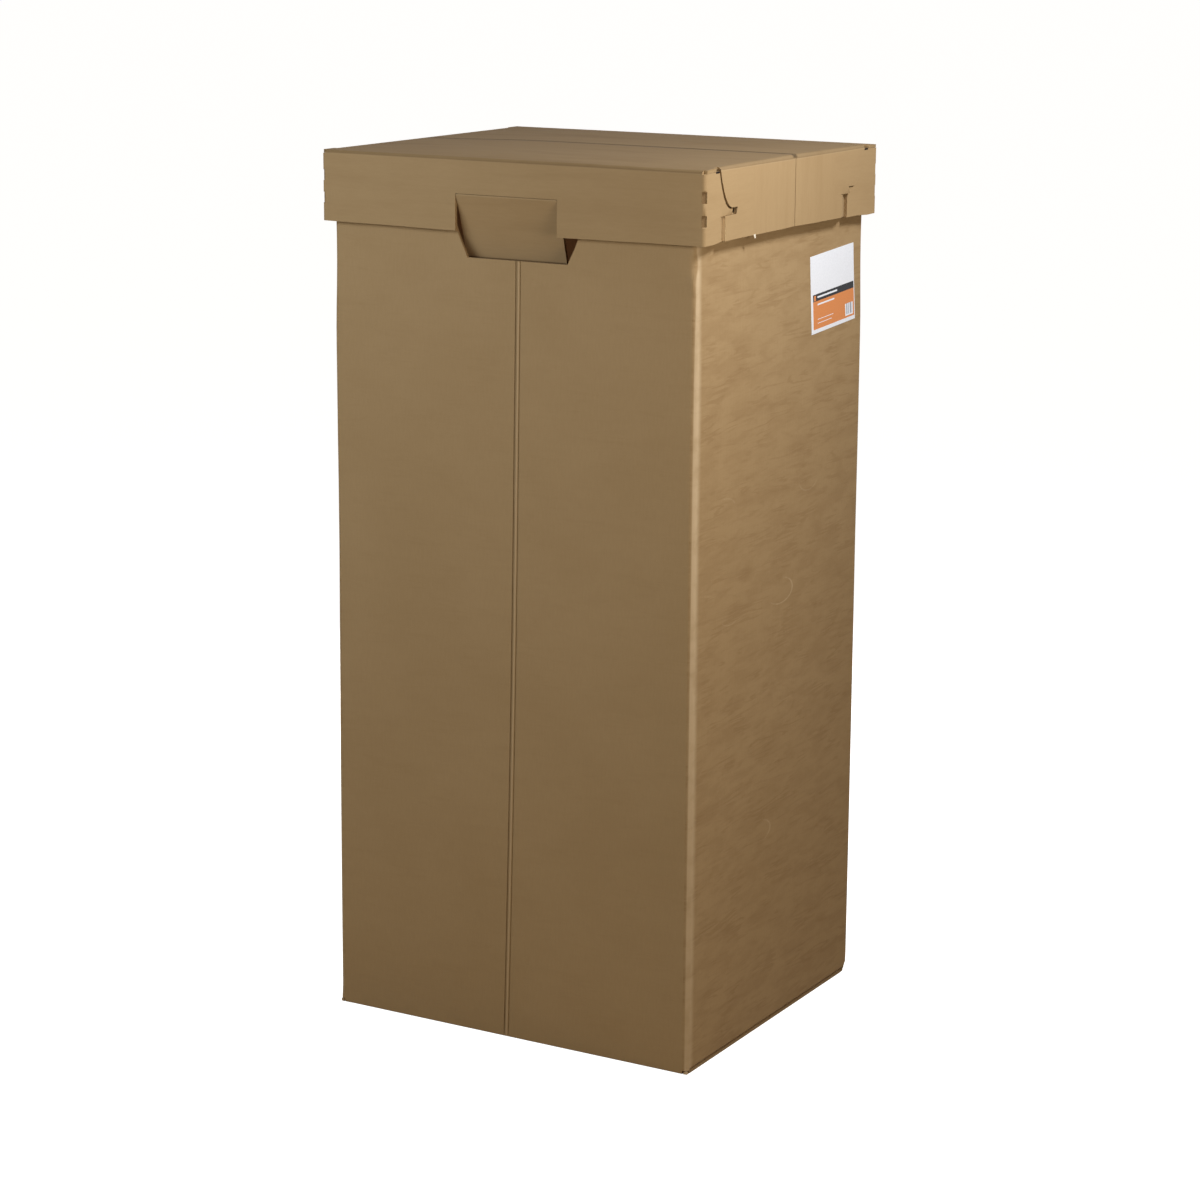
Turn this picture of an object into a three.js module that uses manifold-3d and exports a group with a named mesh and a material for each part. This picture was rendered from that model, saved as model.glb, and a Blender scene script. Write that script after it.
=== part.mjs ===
// Wardrobe moving box: a tall corrugated carton with a telescoping lid, a hanging rail and a label.
// Millimetres, +Z up, X along the wide front, front wall at -Y, origin at the middle of the base.

import * as THREE from 'three';
import { mergeVertices } from 'three/addons/utils/BufferGeometryUtils.js';
import Module from 'manifold-3d';

const wasm = await Module();
wasm.setup();

// Driving dimensions of the carton
const bodyWidth = 507;
const bodyDepth = 450;
const totalHeight = 1100;
const board = 4;
const cornerBend = 5;
const foldBend = 2.6;
const seatGap = 0.3;
const flapGap = 0.8;
const flapSideInset = 1.5;
const jointFlapWidth = 38;
const jointFlapInset = 20;

// Vertical crease in the middle of the carton's front and back walls
const creaseTopX = 12.5;
const creaseFootX = -4;
const creaseBead = 4.6;
const grooveWidth = 1.5;
const grooveDepth = 0.8;

// Hand-hold cut-out in the carton's front and back walls, open at the top
const cutoutOffsetX = 10.7;
const cutoutSillInset = 0.3;
const cutoutFlare = 0.4;

// Driving dimensions of the lid
const lidBoard = 4;
const lidDepth = 86.7;
const lidFrontClearance = 2;
const lidToeClearance = 4.2;
const lidFoldBend = 2.6;
const lidCrease = 1.8;

// Boot-shaped corner flaps of the lid, measured from the lid's corner
const flapAnkle = 36;
const flapHeel = 65;
const flapCurveReach = 12;
const flapCurveRise = 3;
const flapLean = 1.5;
const flapLeanStart = 8;
const toeReach = 84;
const toeHeight = 36.4;
const hookReach = 80.7;
const hookHole = 7;
const hookSlant = 3;
const looseToeSag = 1.4;
const looseToeGap = 0.8;
const toeBevel = 10;
const footBevel = 20;
const bevelBend = 6;
const bevelTail = 3;
const joinStep = 0.05;

// End walls of the lid, cut round the corner flaps and measured from the lid's corner too
const endWallInsetTop = 37.2;
const endWallInsetFoot = 50;
const earWidth = 27;
const curveGapY = 1.8;
const curveGapZ = 1.1;
const slitHeight = 29;
const perforationPitch = 27.1;
const perforationCut = 13.4;
const perforationStart = 24.3;
const perforationBite = 6.2;

// Tongue cut from the lid's front and back walls
const tongueWidth = 140.6;
const tongueLength = 87;
const tongueOffsetX = -2;
const tongueSideGap = 0.5;
const tongueCreaseDrop = 43.2;
const tongueTilt = 18;
const tongueChamfer = 4;
const tongueTuck = 4.2;

// Folded steel hanging rail
const railSheet = 1.2;
const railWidth = 22;
const railDrop = 17;
const railBend = 1.6;
const railHookWidth = 16;
const railHookDrop = 15;
const railEndClearance = 0.3;

// Paper label on the right wall
const labelWidth = 124.4;
const labelHeight = 97.5;
const labelThickness = 0.3;
const labelBackInset = 87.5;
const labelDrop = 169.5;
const labelTilt = 3.3;
const labelGap = 0.1;

// Derived sizes
const halfWidth = bodyWidth / 2;
const halfDepth = bodyDepth / 2;
const bodyTop = totalHeight - lidBoard - seatGap;
const cornerOuter = cornerBend + board / 2;
const foldOuter = foldBend + board / 2;
const lidEnd = halfWidth + lidToeClearance + lidBoard + seatGap + lidBoard;
const lidFront = halfDepth + lidFrontClearance + lidBoard;
const lidFoot = totalHeight - lidDepth;
const lidFoldOuter = lidFoldBend + lidBoard / 2;
const endX = lidEnd - lidBoard / 2;
const tuckedX = endX - lidBoard - seatGap;
const flapTop = totalHeight - lidBoard - seatGap;
const slitZ = lidFoot + slitHeight;
const toeTop = lidFoot + toeHeight;
const tongueAxisZ = totalHeight - tongueCreaseDrop - seatGap - lidBoard / 2;
const tongueAxisY = lidFront - lidBoard / 2;
const tongueTipZ = tongueAxisZ - tongueLength * Math.cos(THREE.MathUtils.degToRad(tongueTilt));
const cutoutSill = tongueTipZ + tongueTuck;
const cutoutSillHalfWidth = tongueWidth / 2 - cutoutSillInset;
const bendSteps = 6;
const roundSteps = 24;
const overlap = 1;
const grid = 1e-3;
const sliver = 0.01;
const weld = 1e-4;

// Placements that turn a flat outline into a plate: the outline's two axes and the way it thickens
const onFloor = (x, y, z) => new THREE.Matrix4().makeTranslation(x, y, z);
const facingX = new THREE.Matrix4().set(0, 0, 1, 0, 1, 0, 0, 0, 0, 1, 0, 0, 0, 0, 0, 1);
const facingY = new THREE.Matrix4().set(1, 0, 0, 0, 0, 0, -1, 0, 0, 1, 0, 0, 0, 0, 0, 1);

// A closed geometry, with its points on a fine grid, as a solid that can be joined and cut
function solid(geometry) {
  const bare = geometry.clone();
  const points = bare.attributes.position.array;
  for (let i = 0; i < points.length; i += 1) {
    points[i] = Math.round(points[i] / grid) * grid;
  }
  bare.deleteAttribute('normal');
  bare.deleteAttribute('uv');
  const merged = mergeVertices(bare, weld);
  const vertProperties = new Float32Array(merged.attributes.position.array);
  const triVerts = new Uint32Array(merged.index.array);
  return new wasm.Manifold(new wasm.Mesh({ numProp: 3, vertProperties, triVerts }));
}

// A solid as a geometry with flat faces, without the slivers that cuts can leave along an edge
function geometryOf(body) {
  const mesh = body.getMesh();
  const points = mesh.vertProperties.map((value) => Math.round(value / sliver) * sliver);
  const geometry = new THREE.BufferGeometry();
  geometry.setAttribute('position', new THREE.BufferAttribute(points, 3));
  geometry.setIndex(new THREE.BufferAttribute(mesh.triVerts, 1));
  const welded = mergeVertices(geometry, weld);
  const corners = welded.index.array;
  const kept = [];
  for (let i = 0; i < corners.length; i += 3) {
    const [a, b, c] = corners.slice(i, i + 3);
    if (a !== b && b !== c && c !== a) kept.push(a, b, c);
  }
  welded.setIndex(kept);
  const flat = welded.toNonIndexed();
  flat.computeVertexNormals();
  return flat;
}

function joined(bodies) {
  return bodies.reduce((all, body) => all.add(body));
}

function outline(points) {
  return new THREE.Shape(points.map(([x, y]) => new THREE.Vector2(x, y)));
}

function extruded(shape, depth) {
  return new THREE.ExtrudeGeometry(shape, { depth, bevelEnabled: false, curveSegments: bendSteps });
}

// Plates from an outline in plan, in the YZ plane and in the XZ plane, between two levels
function planPlate(shape, fromZ, toZ) {
  return solid(extruded(shape, toZ - fromZ).applyMatrix4(onFloor(0, 0, fromZ)));
}

function sidePlate(shape, fromX, toX) {
  return solid(extruded(shape, toX - fromX).applyMatrix4(facingX).applyMatrix4(onFloor(fromX, 0, 0)));
}

function frontPlate(shape, fromY, toY) {
  return solid(extruded(shape, toY - fromY).applyMatrix4(facingY).applyMatrix4(onFloor(0, toY, 0)));
}

function block(fromX, toX, fromY, toY, fromZ, toZ) {
  const geometry = new THREE.BoxGeometry(toX - fromX, toY - fromY, toZ - fromZ);
  geometry.translate((fromX + toX) / 2, (fromY + toY) / 2, (fromZ + toZ) / 2);
  return solid(geometry);
}

// The section of a folded sheet: a strip of even thickness along a route of the sheet's middle,
// rounded with the given bend radius at each fold
function foldedStrip(route, bend, thickness) {
  const left = [];
  const right = [];
  const place = (x, y, nx, ny) => {
    left.push([x + nx * thickness / 2, y + ny * thickness / 2]);
    right.push([x - nx * thickness / 2, y - ny * thickness / 2]);
  };
  const heading = (a, b) => new THREE.Vector2(b[0] - a[0], b[1] - a[1]).normalize();
  const last = route.length - 1;
  const first = heading(route[0], route[1]);
  place(route[0][0], route[0][1], -first.y, first.x);
  for (let i = 1; i < last; i += 1) {
    const before = heading(route[i - 1], route[i]);
    const after = heading(route[i], route[i + 1]);
    const turn = Math.atan2(before.x * after.y - before.y * after.x, before.dot(after));
    const reach = bend * Math.tan(Math.abs(turn) / 2);
    const side = Math.sign(turn);
    const centreX = route[i][0] - before.x * reach - before.y * bend * side;
    const centreY = route[i][1] - before.y * reach + before.x * bend * side;
    const steps = Math.max(2, Math.round(Math.abs(turn) / (Math.PI / 2) * bendSteps));
    for (let k = 0; k <= steps; k += 1) {
      const along = Math.atan2(before.y, before.x) + turn * k / steps;
      const nx = -Math.sin(along);
      const ny = Math.cos(along);
      place(centreX - nx * bend * side, centreY - ny * bend * side, nx, ny);
    }
  }
  const end = heading(route[last - 1], route[last]);
  place(route[last][0], route[last][1], -end.y, end.x);
  return outline([...left, ...right.reverse()]);
}

// Copies of a solid on the other side of the middle
const mirrorX = (body) => body.mirror([1, 0, 0]);
const mirrorY = (body) => body.mirror([0, 1, 0]);

// Walls of the carton: one strip round the four corners, with the joint flap glued inside the back
function cartonTube() {
  const wallX = halfWidth - board / 2;
  const wallY = halfDepth - board / 2;
  const flapY = wallY - board - seatGap;
  const route = [
    [-halfWidth, wallY],
    [wallX, wallY],
    [wallX, -wallY],
    [-wallX, -wallY],
    [-wallX, flapY],
    [-wallX + jointFlapWidth, flapY],
  ];
  const tube = planPlate(foldedStrip(route, cornerBend, board), foldOuter, bodyTop);
  const flapStart = -halfWidth + board + cornerBend;
  const flapEnd = -halfWidth + board + jointFlapWidth;
  const trim = (fromZ, toZ) => block(flapStart, flapEnd, flapY - board, flapY + board / 2 + seatGap / 2,
    fromZ, toZ);
  return tube.subtract(trim(-overlap, jointFlapInset)).subtract(trim(bodyTop - jointFlapInset, totalHeight));
}

// The long bottom flaps fold in from the front and back walls and meet in the middle
function longBottomFlap() {
  const wallY = halfDepth - board / 2;
  const straight = halfWidth - cornerOuter;
  const section = [
    [-wallY, foldOuter + overlap],
    [-wallY, board / 2],
    [-flapGap / 2, board / 2],
  ];
  const folded = sidePlate(foldedStrip(section, foldBend, board), -straight, straight);
  const flapSide = halfWidth - flapSideInset;
  const flat = block(-flapSide, flapSide, -halfDepth + cornerOuter, -flapGap / 2, 0, board);
  return folded.add(flat);
}

// The short bottom flaps fold in from the end walls and lie glued on the long ones
function shortBottomFlap() {
  const wallX = halfWidth - board / 2;
  const straight = halfDepth - cornerOuter;
  const section = [
    [wallX, board + foldOuter + overlap],
    [wallX, board + board / 2],
    [wallX - straight, board + board / 2],
  ];
  return frontPlate(foldedStrip(section, foldBend, board), -straight, straight);
}

// The bead and its two grooves run down the outside of a wall, a little out of plumb
function creaseGrooves() {
  const groove = (offset) => {
    const half = grooveWidth / 2;
    return frontPlate(outline([
      [creaseFootX + offset - half, board],
      [creaseFootX + offset + half, board],
      [creaseTopX + offset + half, totalHeight],
      [creaseTopX + offset - half, totalHeight],
    ]), -halfDepth - overlap, -halfDepth + grooveDepth);
  };
  const offset = (creaseBead + grooveWidth) / 2;
  return groove(-offset).add(groove(offset));
}

function handCutout() {
  const rise = totalHeight - cutoutSill;
  const topHalf = cutoutSillHalfWidth + rise * cutoutFlare;
  return frontPlate(outline([
    [cutoutOffsetX - cutoutSillHalfWidth, cutoutSill],
    [cutoutOffsetX + cutoutSillHalfWidth, cutoutSill],
    [cutoutOffsetX + topHalf, totalHeight],
    [cutoutOffsetX - topHalf, totalHeight],
  ]), -halfDepth - overlap, -halfDepth + board + overlap);
}

function carton() {
  const endSpace = halfDepth - cornerOuter;
  const endCut = block(halfWidth - board - overlap, halfWidth + overlap, -endSpace, endSpace,
    0, board + foldOuter);
  let body = cartonTube();
  body = body.subtract(endCut).subtract(mirrorX(endCut));
  const longFlap = longBottomFlap();
  const shortFlap = shortBottomFlap();
  body = joined([body, longFlap, mirrorY(longFlap), shortFlap, mirrorX(shortFlap)]);
  const grooves = creaseGrooves();
  const cutout = handCutout();
  const railSeat = railWidth / 2 + seatGap;
  const notchFloor = bodyTop - railSheet - 2 * seatGap;
  const railNotch = block(-halfWidth - overlap, halfWidth + overlap, -railSeat, railSeat,
    notchFloor, totalHeight);
  return [grooves, mirrorY(grooves), cutout, mirrorY(cutout), railNotch]
    .reduce((rest, cut) => rest.subtract(cut), body);
}

// Top, front wall and back wall of the lid as one U-shaped section, with an ear of the top at each corner
function lidShell() {
  const wallY = lidFront - lidBoard / 2;
  const topZ = totalHeight - lidBoard / 2;
  const straight = lidEnd - lidFoldOuter;
  const section = [[-wallY, lidFoot], [-wallY, topZ], [wallY, topZ], [wallY, lidFoot]];
  const shell = sidePlate(foldedStrip(section, lidFoldBend, lidBoard), -straight, straight);
  const ear = block(straight - overlap, lidEnd, -lidFront + lidFoldOuter, -lidFront + earWidth,
    totalHeight - lidBoard, totalHeight);
  return joined([shell, ear, mirrorX(ear), mirrorY(ear), mirrorX(mirrorY(ear))]);
}

// The boot's curved edge, from its heel up to the ankle, shifted by a gap on the end wall's side
function curveTo(shape, gapY, gapZ) {
  shape.lineTo(-lidFront + flapHeel + gapY, toeTop + gapZ);
  shape.quadraticCurveTo(-lidFront + flapAnkle + flapCurveReach + gapY, toeTop + flapCurveRise + gapZ,
    -lidFront + flapAnkle + gapY, flapTop);
}

// What a corner takes out of the end wall: the boot, with a hook-shaped hole at the end of its toe
function bootOpening() {
  const shape = new THREE.Shape();
  shape.moveTo(-lidFront - overlap, lidFoot - overlap);
  shape.lineTo(-lidFront + endWallInsetFoot, lidFoot - overlap);
  shape.lineTo(-lidFront + endWallInsetFoot, slitZ);
  shape.lineTo(-lidFront + hookReach - hookSlant, slitZ);
  shape.lineTo(-lidFront + hookReach, toeTop + curveGapZ);
  curveTo(shape, curveGapY, curveGapZ);
  shape.lineTo(-lidFront - overlap, flapTop);
  return sidePlate(shape, endX - lidBoard, lidEnd + overlap);
}

// The end wall hangs from the top's fold
function lidEndWall() {
  const topZ = totalHeight - lidBoard / 2;
  const halfTop = lidFront - endWallInsetTop;
  const section = [
    [lidEnd - lidFoldOuter - overlap, topZ],
    [endX, topZ],
    [endX, lidFoot],
  ];
  const hung = frontPlate(foldedStrip(section, lidFoldBend, lidBoard), -halfTop, halfTop);
  const opening = bootOpening();
  return hung.subtract(opening).subtract(mirrorY(opening));
}

// Beside a loose flap the foot of the end wall is slit and pushed in, so that it passes behind the toe
function pushedFoot(wall) {
  const footEdge = lidFront - endWallInsetFoot;
  const bevelEnd = lidFront - hookReach;
  const bevelStart = bevelEnd - footBevel;
  const pushedX = endX - lean(toeReach) - lidBoard - seatGap;
  const route = [
    [endX, bevelStart - bevelTail],
    [endX, bevelStart],
    [pushedX, bevelEnd],
    [pushedX, footEdge],
  ];
  const strip = foldedStrip(route, bevelBend, lidBoard - 2 * joinStep);
  const foot = planPlate(strip, lidFoot + joinStep, slitZ - seatGap);
  const space = block(endX - lidBoard, lidEnd + overlap, bevelStart - bevelTail + overlap, lidFront,
    lidFoot - overlap, slitZ);
  return wall.subtract(space).add(foot);
}

// The corner fold of the lid's front wall round to its flap, cut through along its perforations
function lidCornerFold() {
  const wallY = lidFront - lidBoard / 2;
  const route = [
    [lidEnd - lidFoldOuter - overlap, -wallY],
    [endX, -wallY],
    [endX, -lidFront + lidFoldOuter + overlap],
  ];
  let fold = planPlate(foldedStrip(route, lidFoldBend, lidBoard), lidFoot, flapTop);
  for (let top = totalHeight - perforationStart; top > lidFoot + perforationCut; top -= perforationPitch) {
    fold = fold.subtract(planPlate(outline([
      [lidEnd - perforationBite - overlap, -lidFront - overlap],
      [lidEnd + overlap, -lidFront - overlap],
      [lidEnd + overlap, -lidFront + perforationBite + overlap],
    ]), top - perforationCut, top));
  }
  return fold;
}

// How far the flap leans inwards at a distance from the lid's corner
function lean(reach) {
  return flapLean * Math.max(0, reach - flapLeanStart) / (endWallInsetFoot - flapLeanStart);
}

// A flap is a sheet that leans in towards its toe, trimmed to the boot's outline
function leaningFlap(boot) {
  const route = [
    [endX, -lidFront + lidFoldOuter],
    [endX, -lidFront + flapLeanStart],
    [endX - lean(toeReach + bevelTail), -lidFront + toeReach + bevelTail],
  ];
  const sheet = planPlate(foldedStrip(route, bevelBend, lidBoard), lidFoot - looseToeSag, flapTop);
  return sheet.intersect(sidePlate(boot, tuckedX - lidBoard, lidEnd + overlap));
}

// Tucked flap: its toe bends inwards and passes behind the foot of the end wall
function tuckedFlap() {
  const bendStart = endWallInsetFoot - toeBevel;
  const faceEnd = bendStart - bevelTail + overlap;
  const boot = new THREE.Shape();
  boot.moveTo(-lidFront + lidFoldOuter, lidFoot);
  boot.lineTo(-lidFront + faceEnd, lidFoot);
  boot.lineTo(-lidFront + faceEnd, slitZ + seatGap);
  boot.lineTo(-lidFront + hookReach - hookHole - hookSlant, slitZ + seatGap);
  boot.lineTo(-lidFront + hookReach - hookHole, toeTop);
  curveTo(boot, 0, 0);
  boot.lineTo(-lidFront + lidFoldOuter, flapTop);
  const route = [
    [endX - lean(bendStart - bevelTail), -lidFront + bendStart - bevelTail],
    [endX - lean(bendStart), -lidFront + bendStart],
    [tuckedX, -lidFront + endWallInsetFoot - seatGap],
    [tuckedX, -lidFront + toeReach],
  ];
  const section = foldedStrip(route, bevelBend, lidBoard - 2 * joinStep);
  const toe = planPlate(section, lidFoot + joinStep, slitZ + seatGap + overlap);
  return joined([lidCornerFold(), leaningFlap(boot), toe]);
}

// Loose flap: its toe lies outside the foot and hangs a little lower
function looseFlap() {
  const toeEnd = hookReach - looseToeGap;
  const boot = new THREE.Shape();
  boot.moveTo(-lidFront + lidFoldOuter, lidFoot);
  boot.lineTo(-lidFront + toeEnd, lidFoot - looseToeSag);
  boot.lineTo(-lidFront + toeEnd, toeTop);
  curveTo(boot, 0, 0);
  boot.lineTo(-lidFront + lidFoldOuter, flapTop);
  return lidCornerFold().add(leaningFlap(boot));
}

// Opening that the tongue leaves in the lid's front wall
function tongueOpening() {
  const half = tongueWidth / 2 + tongueSideGap;
  return block(tongueOffsetX - half, tongueOffsetX + half,
    -lidFront - overlap, -lidFront + lidBoard + overlap,
    lidFoot - overlap, totalHeight - tongueCreaseDrop);
}

// Groove of the folding crease across the top and down both ends
function lidCreaseGroove() {
  const half = lidCrease / 2;
  const across = block(-lidEnd - overlap, lidEnd + overlap, -half, half,
    totalHeight - grooveDepth, totalHeight + overlap);
  const down = block(lidEnd - grooveDepth, lidEnd + overlap, -half, half, 0, totalHeight + overlap);
  return joined([across, down, mirrorX(down)]);
}

function lid() {
  const endWall = lidEndWall();
  const tucked = tuckedFlap();
  const loose = looseFlap();
  const opening = tongueOpening();
  const body = joined([
    lidShell(),
    pushedFoot(endWall),
    mirrorX(endWall),
    tucked,
    mirrorY(loose),
    mirrorX(tucked),
    mirrorX(mirrorY(tucked)),
  ]);
  return body.subtract(opening).subtract(mirrorY(opening)).subtract(lidCreaseGroove());
}

// The tongue hangs from a rounded crease, so it can turn about its own axis without rubbing
function tongue() {
  const half = tongueWidth / 2;
  const foot = -tongueLength;
  const crease = new THREE.CylinderGeometry(lidBoard / 2, lidBoard / 2, tongueWidth, roundSteps);
  crease.rotateZ(Math.PI / 2);
  const blade = frontPlate(outline([
    [-half + tongueChamfer, foot],
    [half - tongueChamfer, foot],
    [half, foot + tongueChamfer],
    [half, 0],
    [-half, 0],
    [-half, foot + tongueChamfer],
  ]), -lidBoard / 2, lidBoard / 2);
  return blade.add(solid(crease));
}

function hangingRail() {
  const topZ = bodyTop - seatGap - railSheet / 2;
  const webY = (railWidth - railSheet) / 2;
  const inner = halfWidth - board - railEndClearance;
  const hookX = halfWidth + railEndClearance + railSheet / 2;
  const channel = [[-webY, topZ - railDrop], [-webY, topZ], [webY, topZ], [webY, topZ - railDrop]];
  const hook = [[inner - railHookDrop, topZ], [hookX, topZ], [hookX, topZ - railHookDrop]];
  const bar = sidePlate(foldedStrip(channel, railBend, railSheet), -inner, inner);
  const end = frontPlate(foldedStrip(hook, railBend, railSheet), -railHookWidth / 2, railHookWidth / 2);
  return joined([bar, end, mirrorX(end)]);
}

function label() {
  return block(-labelThickness / 2, labelThickness / 2, -labelWidth / 2, labelWidth / 2,
    -labelHeight / 2, labelHeight / 2);
}

// Materials
const kraft = new THREE.MeshStandardMaterial({ color: 0xb08f63, roughness: 0.85, metalness: 0 });
const steel = new THREE.MeshStandardMaterial({ color: 0xb9bcc0, roughness: 0.35, metalness: 1 });
const paper = new THREE.MeshStandardMaterial({ color: 0xe8e8ec, roughness: 0.5, metalness: 0 });

function named(name, body, material) {
  const mesh = new THREE.Mesh(geometryOf(body), material);
  mesh.name = name;
  return mesh;
}

const cartonGroup = new THREE.Group();
cartonGroup.add(named('carton', carton(), kraft));
cartonGroup.add(named('hanging_rail', hangingRail(), steel));
const labelMesh = named('label', label(), paper);
labelMesh.position.set(halfWidth + labelGap + labelThickness / 2, halfDepth - labelBackInset,
  bodyTop - labelDrop);
labelMesh.rotation.x = THREE.MathUtils.degToRad(labelTilt);
cartonGroup.add(labelMesh);

const lidGroup = new THREE.Group();
lidGroup.add(named('lid', lid(), kraft));
const frontTongue = named('lid_tab_front', tongue(), kraft);
frontTongue.position.set(tongueOffsetX, -tongueAxisY, tongueAxisZ);
frontTongue.rotation.x = THREE.MathUtils.degToRad(tongueTilt);
lidGroup.add(frontTongue);
const backTongue = named('lid_tab_back', tongue(), kraft);
backTongue.position.set(tongueOffsetX, tongueAxisY, tongueAxisZ);
backTongue.rotation.x = THREE.MathUtils.degToRad(-tongueTilt);
lidGroup.add(backTongue);

const wardrobeBox = new THREE.Group();
wardrobeBox.add(cartonGroup, lidGroup);

export default wardrobeBox;
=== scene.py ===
import math

import bmesh
import bpy
from mathutils import Matrix, Vector, noise
from mathutils.bvhtree import BVHTree


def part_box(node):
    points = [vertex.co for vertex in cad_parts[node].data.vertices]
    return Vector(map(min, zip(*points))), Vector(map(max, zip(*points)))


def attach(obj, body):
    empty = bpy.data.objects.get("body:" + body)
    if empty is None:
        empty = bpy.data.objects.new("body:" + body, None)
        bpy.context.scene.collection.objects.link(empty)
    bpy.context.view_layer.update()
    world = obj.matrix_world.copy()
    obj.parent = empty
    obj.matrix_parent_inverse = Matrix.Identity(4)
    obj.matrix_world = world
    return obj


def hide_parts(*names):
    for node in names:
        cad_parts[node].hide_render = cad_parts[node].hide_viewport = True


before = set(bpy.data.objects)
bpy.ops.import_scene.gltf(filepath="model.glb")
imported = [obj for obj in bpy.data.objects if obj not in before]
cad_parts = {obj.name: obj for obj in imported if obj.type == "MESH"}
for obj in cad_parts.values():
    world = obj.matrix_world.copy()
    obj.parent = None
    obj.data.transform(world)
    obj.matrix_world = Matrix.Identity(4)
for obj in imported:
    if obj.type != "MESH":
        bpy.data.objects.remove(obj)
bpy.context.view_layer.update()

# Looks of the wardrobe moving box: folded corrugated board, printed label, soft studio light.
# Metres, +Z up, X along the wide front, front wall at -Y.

MM = 0.001

# Places taken from the frame
carton_low, carton_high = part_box("carton")
lid_low, lid_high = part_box("lid")
label_low, label_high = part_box("label")
half_width = carton_high.x
half_depth = carton_high.y
body_top = carton_high.z
lid_end = lid_high.x
lid_front = lid_high.y
lid_top = lid_high.z
board = 4 * MM
lid_foot = 1013.3 * MM

# Vertical crease in the middle of the front and back walls: its x at a height z, in metres, as a
# curve and as the straight line that the solid has, and the rounded bead along it
crease_foot_x = -4.2 * MM
crease_slope = 0.0308
crease_bend = -0.0138
crease_slope_line = 0.0155
bead_half = 2.1 * MM
bead_rise = 0.8 * MM

# How far the carton's walls bow outwards and wave
wall_skin = 5 * MM
front_bow = 1.1 * MM
front_wave = 0.7 * MM
end_bow = 0.6 * MM
end_wave = 1.2 * MM

# How far the carton spreads at its foot and, on the left, near its top, and how far it is drawn in
# under the lid
low_left = 2.8 * MM
low_right = 1.3 * MM
low_front = 1.4 * MM
high_left = 1.3 * MM
neck_level = 985 * MM
neck_reach = 120 * MM
neck_left = 2.2 * MM
neck_right = 1.4 * MM
neck_back = 1.6 * MM

# The cut-out's sill stands a little higher than in the solid
sill_middle = 10.7 * MM
sill_half = 70 * MM
sill_level = 976.1 * MM
sill_lift = 4.3 * MM

# Knocks on the near fold: reach about the fold, level, reach up and down, shift in mm
FOLD_KNOCKS = [
    (16 * MM, 990 * MM, 17 * MM, (-1.6, 1.2, 0)),
    (12 * MM, 966 * MM, 13 * MM, (-0.4, -1.8, 0)),
]

# Knocks at bottom corners: corner, reach about it, shift in mm
CORNER_KNOCKS = [
    ((half_width, half_depth, 0), 15 * MM, (-2.6, -2.6, 2.4)),
    ((-half_width, -half_depth, 4 * MM), 16 * MM, (-0.8, -0.5, 0)),
]

# The lid's top is a little domed, and the right end has come up with it
top_skin = 4.7 * MM
crown_rise = 2.5 * MM
ridge_rise = 0.9 * MM
ridge_reach = 45 * MM
end_wall_half = 194 * MM
end_wall_skin = 8.5 * MM

# The front and back of the lid's skirt wave and sag in the middle, and its foot is a little uneven
skirt_wave = 0.5 * MM
skirt_sag = 1.4 * MM
skirt_sag_half = 240 * MM
foot_wave = 0.4 * MM
foot_reach = 12 * MM


def crease_x(z):
    """Where the crease runs at a height."""
    return crease_foot_x + z * (crease_slope + crease_bend * z)


# Materials

def srgb(red, green, blue):
    """A colour given as 8-bit screen values, as the linear colour that shaders take."""
    def linear(value):
        value /= 255
        return value / 12.92 if value <= 0.04045 else ((value + 0.055) / 1.055) ** 2.4

    return (linear(red), linear(green), linear(blue), 1.0)


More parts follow.
